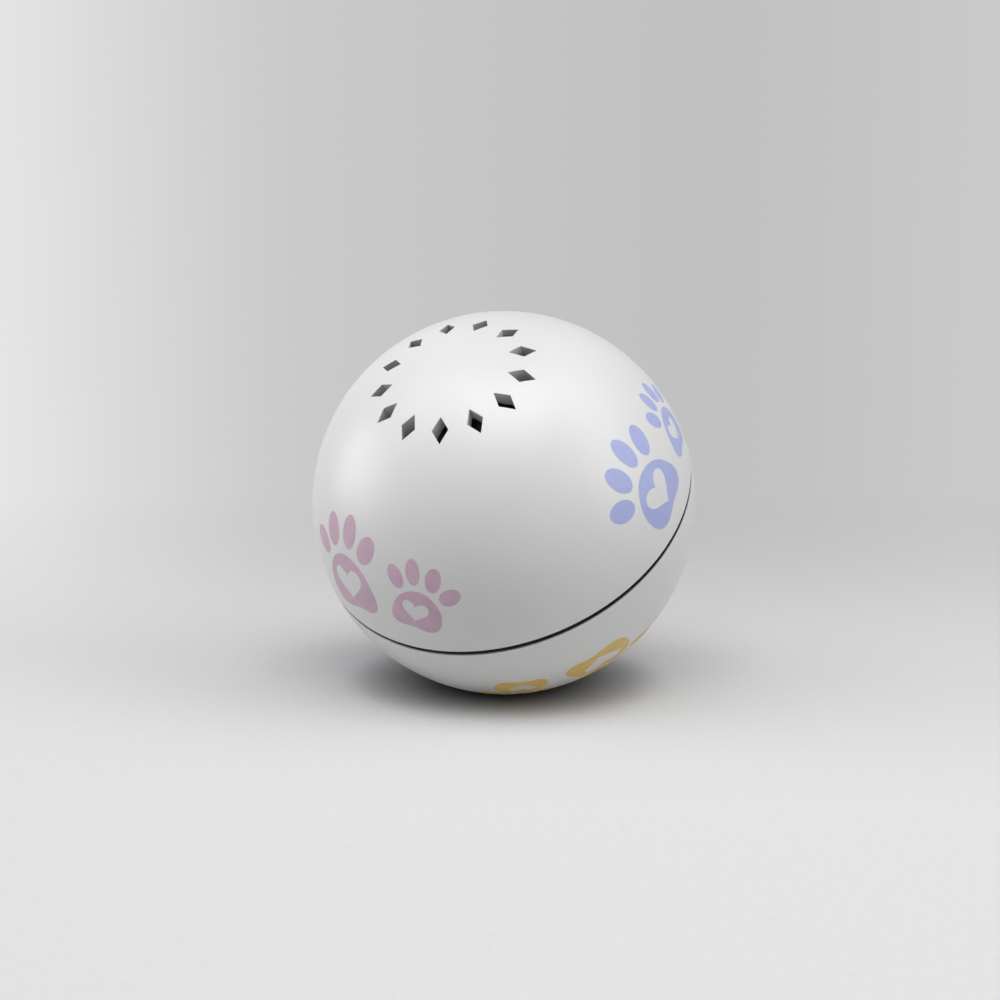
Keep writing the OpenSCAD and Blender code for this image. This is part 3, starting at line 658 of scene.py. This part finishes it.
battery_routes = []
lead_points = [lead_tail + Vector(bend) for bend in lead_bends]
lead_points += [lead_pad - Vector((0, 0, lead_stub)), lead_pad]
for way in (1, -1):
    battery_routes.append([(point.x, way * point.y, point.z) for point in lead_points])
battery_wires = red_and_black(wires("battery_wires", battery_routes, lead_d))
fitted(battery_wires, "lower_half", "lead_black", "battery_leads")


# Battery door, its two captive screws and the knob of the slide switch: what a finger or a
# screwdriver meets on the deck when the ball is open.
door_grey, shader = moulded("door_grey", grey(0.096), grey(0.11), (0.4, 0.52))
eased("battery_door", "cell_cover", door_grey, "inner_grey", 0.16, 3)
eased("door_screws", "cover_fixings", screw_steel, "screw_steel", 0.14, 3)
knob_black, shader = moulded("knob_black", grey(0.018), grey(0.034), (0.3, 0.42))
eased("switch_knob", "slide_knob", knob_black, "epoxy_black", 0.16, 3)


# Seal: a flat black rubber ring gripped between the two rims, with a thicker lip. The lip's
# edge, just under the ball's skin, is the dark line round the middle.
seal_in_r, seal_out_r = 21.13, 24.88
seal_round = 0.2
seal_outline = [
    (seal_in_r, -rim_z),
    (lip_r, -rim_z),
    (lip_r, lip_low),
    *arc(seal_out_r - seal_round, lip_low + seal_round, seal_round, -90, 0, 4),
    *arc(seal_out_r - seal_round, rim_z - seal_round, seal_round, 0, 90, 4),
    (seal_in_r, rim_z),
]
joint_seal = laid(turned_body("joint_seal", seal_outline))
seal_rubber, shader = moulded("seal_rubber", grey(0.006), grey(0.014), (0.7, 0.85), 700, 5000, 0.01)
shader.inputs["Specular IOR Level"].default_value = 0.15
joint_seal.data.materials.append(seal_rubber)
fitted(joint_seal, "seal_ring", "seal_rubber", "seam_seal")


# Upper half of the casing: the same lacquered moulding, with thirteen diamond vents in a ring
# round its pole, which widen inwards so that they draw off the mould.
vent_count = 13
vent_ring = 9.2
vent_half_l = 1.65
vent_half_w = 1.06
vent_turn = 12.2
vent_edge = 0.06
vent_depth = 2.6
vent_draft = 0.14
vent_side_points = 8

rim_r = math.sqrt(ball_r**2 - (rim_z + rim_edge) ** 2)
rim_turn = math.degrees(math.asin((rim_z + rim_edge) / ball_r))
cavity_rim_turn = math.degrees(math.asin(rim_z / cavity_r))
upper_outline = [
    *arc(0, 0, ball_r, 90, rim_turn, 48),
    *arc(rim_r - rim_edge, rim_z + rim_edge, rim_edge, 0, -90, 4)[1:],
    *arc(0, 0, cavity_r, cavity_rim_turn, 90, 44),
]
upper_casing = turned_body("upper_casing", upper_outline)


def vent_cutter(turn):
    """A diamond plug, flared at the skin so that the cut's lip comes out rounded."""
    inradius = vent_half_l * vent_half_w / math.hypot(vent_half_l, vent_half_w)
    corners = ((vent_half_l, 0), (0, vent_half_w), (-vent_half_l, 0), (0, -vent_half_w))
    sides = []
    for k, (x, y) in enumerate(corners):
        to_x, to_y = corners[(k + 1) % 4]
        sides += [
            (x + (to_x - x) * i / vent_side_points, y + (to_y - y) * i / vent_side_points)
            for i in range(vent_side_points)]
    flare = [0.25 * vent_edge * k for k in range(5)]
    levels = [(-0.3, vent_edge)]
    levels += [(d, vent_edge - math.sqrt(vent_edge**2 - (vent_edge - d) ** 2)) for d in flare]
    levels += [(vent_depth, vent_draft * vent_depth)]
    a = math.radians(turn)
    rings = []
    for depth, grow in levels:
        ring = []
        for x, y in sides:
            scale = 1 + grow / inradius
            out, across = vent_ring + x * scale, y * scale
            height = math.sqrt((ball_r - depth) ** 2 - out**2 - across**2)
            ring.append((
                out * math.cos(a) - across * math.sin(a),
                out * math.sin(a) + across * math.cos(a), height))
        rings.append(ring)
    return lofted("vent_cutter", rings)


vent_plugs = [vent_cutter(vent_turn + 360 * k / vent_count) for k in range(vent_count)]
laid(combine(upper_casing, vent_plugs, "DIFFERENCE"))
for finish in (white_gloss, grey_matt):
    upper_casing.data.materials.append(finish)
polished_outside(upper_casing)
fitted(upper_casing, "upper_half", "shell_white", "upper_shell")


# Thread ring: a white moulded ring glued into the upper half, with three lugs inside it that
# turn onto the collar's thread.
ring_r = 22.9
skirt_r = 21.93
skirt_top = 5.5
lug_r = 21.03
lug_z = 1.03
lug_arc = 26
lug_start = 12

ring_low_turn = math.degrees(math.asin(rim_z / ring_r))
ring_high_turn = math.degrees(math.asin(skirt_top / ring_r))
ring_outline = [
    (skirt_r, rim_z),
    *arc(0, 0, ring_r, ring_low_turn, ring_high_turn, 10),
    (skirt_r, skirt_top),
]
lug_ring = turned_body("lug_ring", ring_outline)
lugs = [
    thread_rib("lug", skirt_r + thread_root, lug_r, lug_z, lug_arc, turn + lug_start)
    for turn in thread_turns]
laid(combine(lug_ring, lugs, "UNION"))
white_matt, shader = moulded("white_matt", (0.80, 0.80, 0.795), (0.84, 0.84, 0.835), (0.5, 0.62))
lug_ring.data.materials.append(white_matt)
fitted(lug_ring, "upper_half", "shell_white", "thread_ring")


# Vent cloth: a disc of open black weave, stretched to the dome and glued behind the vents so
# that the catnip stays in.
cloth_r = 12.1
cloth_out_r, cloth_in_r = 22.86, 22.58
weave_scale = 130

cloth_turns = [90 - math.degrees(math.asin(cloth_r / r)) for r in (cloth_out_r, cloth_in_r)]
cloth_outline = [
    *arc(0, 0, cloth_out_r, 90, cloth_turns[0], 18), *arc(0, 0, cloth_in_r, cloth_turns[1], 90, 18)]
vent_cloth = laid(turned_body("vent_cloth", cloth_outline))
black_weave, tree, shader, place = new_finish("black_weave")
lay = tree.nodes.new("ShaderNodeMapping")
lay.vector_type = "TEXTURE"
lay.inputs["Location"].default_value = ball_centre
lay.inputs["Rotation"].default_value = ball_lies.to_euler()
tree.links.new(place, lay.inputs["Vector"])
threads = []
for way in ("X", "Y"):
    wave = tree.nodes.new("ShaderNodeTexWave")
    wave.bands_direction = way
    wave.inputs["Scale"].default_value = weave_scale
    tree.links.new(lay.outputs["Vector"], wave.inputs["Vector"])
    threads.append(wave.outputs["Fac"])
weave = tree.nodes.new("ShaderNodeMath")
weave.operation = "MULTIPLY"
tree.links.new(threads[0], weave.inputs[0])
tree.links.new(threads[1], weave.inputs[1])
thread_tone = toned(tree, weave.outputs["Value"], (0.1, grey(0.004)), (0.7, grey(0.022)))
tree.links.new(thread_tone, shader.inputs["Base Color"])
shader.inputs["Roughness"].default_value = 0.85
shader.inputs["Specular IOR Level"].default_value = 0.2
grained(tree, shader, weave.outputs["Value"], 0.08)
vent_cloth.data.materials.append(black_weave)
fitted(vent_cloth, "upper_half", "screen_cloth", "vent_screen")


# Catnip chamber: a white ring glued inside the vents with a bayonet groove, and the grey lid
# that twists into it, with sound holes and a bar to turn it by.
eased("chamber_ring", "catnip_ring", white_matt, "shell_white", 0.1)
eased("catnip_lid", "catnip_cover", deck_grey, "inner_grey", 0.14)


# Paws: pad prints of two facing paws, a larger and a smaller one, in three ink colours.
# Each print is a thin skin of ink on the plastic, its heart left bare.
ink_high = 0.024
ink_film = 0.04
ink_cell = 1.2
ink_cells_out = 18
pad_points = (
    (-1.3, 9.2), (3.0, 8.2), (6.5, 5.7), (9.0, 2.1), (10.5, -1.7), (9.9, -4.7), (7.7, -6.3), (4.4, -6.7),
    (1.5, -7.1), (-1.2, -8.2), (-4.2, -9.0), (-7.0, -8.5), (-9.2, -6.5), (-10.4, -3.3), (-10.6, 0.5),
    (-9.2, 4.4), (-6.9, 7.2), (-4.2, 8.8))
toes = (
    (-15.4, 7.55, 9.1, 6.5, -63), (-9.6, 14.2, 10.0, 6.3, -15),
    (-1.55, 17.0, 10.6, 5.8, -1), (6.2, 14.4, 9.7, 6.2, 21))
heart_lean = 13
heart_fullness = 2.4
oval_steps = 48
heart_steps = 64


def leaned(x, y, lean, at):
    """A point of a flat drawing, turned by its lean and set in its place."""
    a = math.radians(lean)
    return (at[0] + x * math.cos(a) - y * math.sin(a), at[1] + x * math.sin(a) + y * math.cos(a), 0)


def flat_outline(drawing, points):
    """One more closed outline of straight steps in a flat drawing."""
    spline = drawing.splines.new("POLY")
    spline.points.add(len(points) - 1)
    for knot, point in zip(spline.points, points):
        knot.co = (*point, 1)
    spline.use_cyclic_u = True


def flat_paw(heart_w, heart_h, heart_at):
    """A paw drawn flat, in degrees of arc about the middle of its pad, cut into small cells."""
    bpy.ops.object.select_all(action="DESELECT")
    bpy.ops.curve.primitive_bezier_circle_add(radius=1)
    paw = bpy.context.object
    drawing = paw.data
    drawing.dimensions = "2D"
    drawing.fill_mode = "BOTH"
    drawing.resolution_u = 6
    pad = drawing.splines[0]
    pad.bezier_points.add(len(pad_points) - len(pad.bezier_points))
    for knot, (x, y) in zip(pad.bezier_points, pad_points):
        knot.co = (x, y, 0)
        knot.handle_left_type = knot.handle_right_type = "AUTO"
    heart = []
    for k in range(heart_steps):
        t = math.tau * k / heart_steps
        swing = math.copysign(abs(math.sin(t)) ** heart_fullness, math.sin(t))
        lift = 13 * math.cos(t) - 5 * math.cos(2 * t) - 2 * math.cos(3 * t) - math.cos(4 * t)
        heart.append(leaned(swing / 2 * heart_w, (lift + 2.5) / 29 * heart_h, heart_lean, heart_at))
    flat_outline(drawing, heart)
    for at_x, at_y, length, width, lean in toes:
        turns = [math.tau * k / oval_steps for k in range(oval_steps)]
        flat_outline(drawing, [
            leaned(width / 2 * math.cos(a), length / 2 * math.sin(a), -lean, (at_x, at_y))
            for a in turns])
    only(paw)
    bpy.ops.object.convert(target="MESH")
    bpy.ops.object.mode_set(mode="EDIT")
    for step in range(-ink_cells_out, ink_cells_out + 1):
        for across in ((1, 0, 0), (0, 1, 0)):
            bpy.ops.mesh.select_all(action="SELECT")
            bpy.ops.mesh.bisect(plane_co=(step * ink_cell, step * ink_cell, 0), plane_no=across)
    bpy.ops.mesh.select_all(action="SELECT")
    bpy.ops.mesh.remove_doubles(threshold=0.01)
    bpy.ops.object.mode_set(mode="OBJECT")
    return paw


def printed_paw(drawn, polar, turn, size, hand):
    """A copy of a flat paw, wrapped onto the upright ball with its toes towards the pole."""
    paw = drawn.copy()
    paw.data = drawn.data.copy()
    scene.collection.objects.link(paw)
    pole = 1 if polar < 90 else -1
    p, a = math.radians(polar), math.radians(turn)
    out = Vector((math.sin(p) * math.cos(a), math.sin(p) * math.sin(a), math.cos(p)))
    right = pole * Vector((-math.sin(a), math.cos(a), 0))
    up = out.cross(right)
    for corner in paw.data.vertices:
        x, y = math.radians(corner.co.x * size * hand), math.radians(corner.co.y * size)
        reach = max(math.hypot(x, y), 1e-9)
        way = (x * right + y * up) / reach
        corner.co = (math.cos(reach) * out + math.sin(reach) * way) * (ball_r + ink_high) * mm
    only(paw)
    bpy.ops.object.mode_set(mode="EDIT")
    bpy.ops.mesh.select_all(action="SELECT")
    bpy.ops.mesh.normals_make_consistent(inside=False)
    bpy.ops.object.mode_set(mode="OBJECT")
    if sum(face.normal.dot(face.center) for face in paw.data.polygons) < 0:
        paw.data.flip_normals()
    return paw


def ink(name, deep, pale):
    """Printing ink, a little thin in places, with the plastic's own grain under it."""
    finish, shader = moulded(name, deep, pale, (0.42, 0.54), 500, 2600, 0.002)
    shader.inputs["Coat Weight"].default_value = 0.25
    shader.inputs["Coat Roughness"].default_value = 0.3
    return finish


pink_ink = ink("pink_ink", (0.68, 0.45, 0.59), (0.77, 0.54, 0.68))
blue_ink = ink("blue_ink", (0.43, 0.48, 0.84), (0.49, 0.54, 0.89))
yellow_ink = ink("yellow_ink", (0.80, 0.54, 0.138), (0.88, 0.615, 0.175))
large_paw = flat_paw(12.6, 9.9, (-1.0, 0.0))
small_paw = flat_paw(11.2, 8.9, (-0.1, 0.0))
small_size = 0.76
for name, finish, body, large_at, small_at in (
    ("paws_pink_upper", pink_ink, "upper_half", (73.8, -27.2), (74.8, -2.3)),
    ("paws_blue_upper", blue_ink, "upper_half", (74.8, 87.0), (75.4, 111.7)),
    ("paws_yellow_upper", yellow_ink, "upper_half", (74.3, 209.8), (75.1, 234.6)),
    ("paws_yellow_lower", yellow_ink, "lower_half", (116.3, 45.6), (115.3, 19.2)),
    ("paws_pink_lower", pink_ink, "lower_half", (116.3, 165.6), (115.3, 139.2)),
    ("paws_blue_lower", blue_ink, "lower_half", (116.3, 285.6), (115.3, 259.2)),
):
    large = printed_paw(large_paw, *large_at, 1, 1)
    small = printed_paw(small_paw, *small_at, small_size, -1)
    only(large)
    small.select_set(True)
    bpy.ops.object.join()
    large.name = name
    skin = large.modifiers.new("ink film", "SOLIDIFY")
    skin.thickness = ink_film * mm
    skin.offset = -1
    bpy.ops.object.modifier_apply(modifier=skin.name)
    laid(large, 50)
    large.data.materials.append(finish)
    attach(large, body)
for drawn in (large_paw, small_paw):
    bpy.data.objects.remove(drawn)
